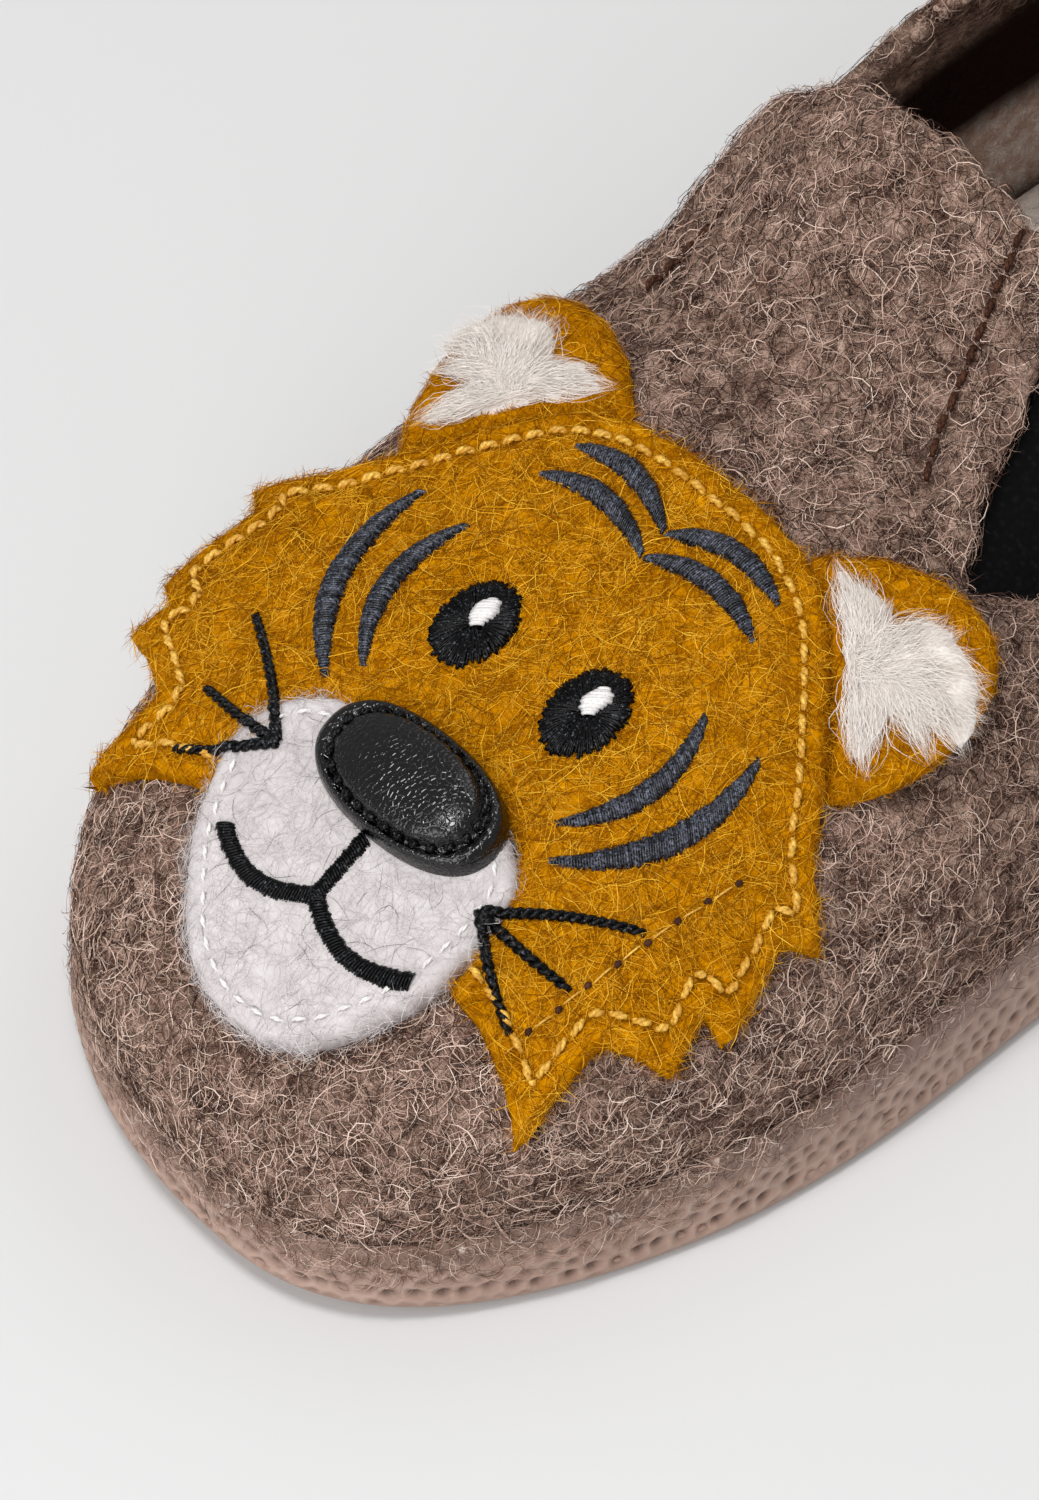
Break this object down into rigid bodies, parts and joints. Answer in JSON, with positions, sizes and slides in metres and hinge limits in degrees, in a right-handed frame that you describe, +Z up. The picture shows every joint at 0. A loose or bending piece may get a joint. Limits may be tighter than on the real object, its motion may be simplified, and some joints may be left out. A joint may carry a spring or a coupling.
{
  "type": "animal slipper",
  "caption": "Child's felt slip-on slipper with a latex cup sole, elastic gussets beside the instep flap and an appliqued animal face on the vamp.",
  "frame": {"origin": "middle of the shoe's box, on the floor under the sole", "axes": "+Z up, toe towards -Y, heel towards +Y, +X to the wearer's left"},
  "size_m": [0.0825, 0.196, 0.058],
  "materials": {
    "latex": "brown dipped latex, knit relief, satin",
    "footbed": "beige wool felt, matte",
    "wool": "grey-brown boiled wool felt, fuzzy",
    "elastic": "black woven elastic, matte",
    "mustard": "mustard wool felt, fuzzy",
    "muzzle": "off-white wool felt with dark hairs",
    "nose": "black grained leather, semi-gloss",
    "stripe": "dark blue-grey satin stitch",
    "black_thread": "black satin stitch",
    "pile": "long white pile"
  },
  "bodies": {
    "root": {"outsole": "latex", "insole": "footbed", "upper": "wool", "gusset_left": "elastic", "gusset_right": "elastic", "head": "mustard", "muzzle": "muzzle", "nose": "nose", "mouth": "black_thread", "eye_left": "black_thread", "eye_right": "black_thread", "ear_left": "mustard", "ear_right": "mustard", "ear_fur_left": "pile", "ear_fur_right": "pile", "stripe_cheek_inner_left": "stripe", "stripe_cheek_inner_right": "stripe", "stripe_cheek_outer_left": "stripe", "stripe_cheek_outer_right": "stripe", "stripe_brow_upper_left": "stripe", "stripe_brow_upper_right": "stripe", "stripe_brow_lower_left": "stripe", "stripe_brow_lower_right": "stripe"}
  },
  "joints": []
}
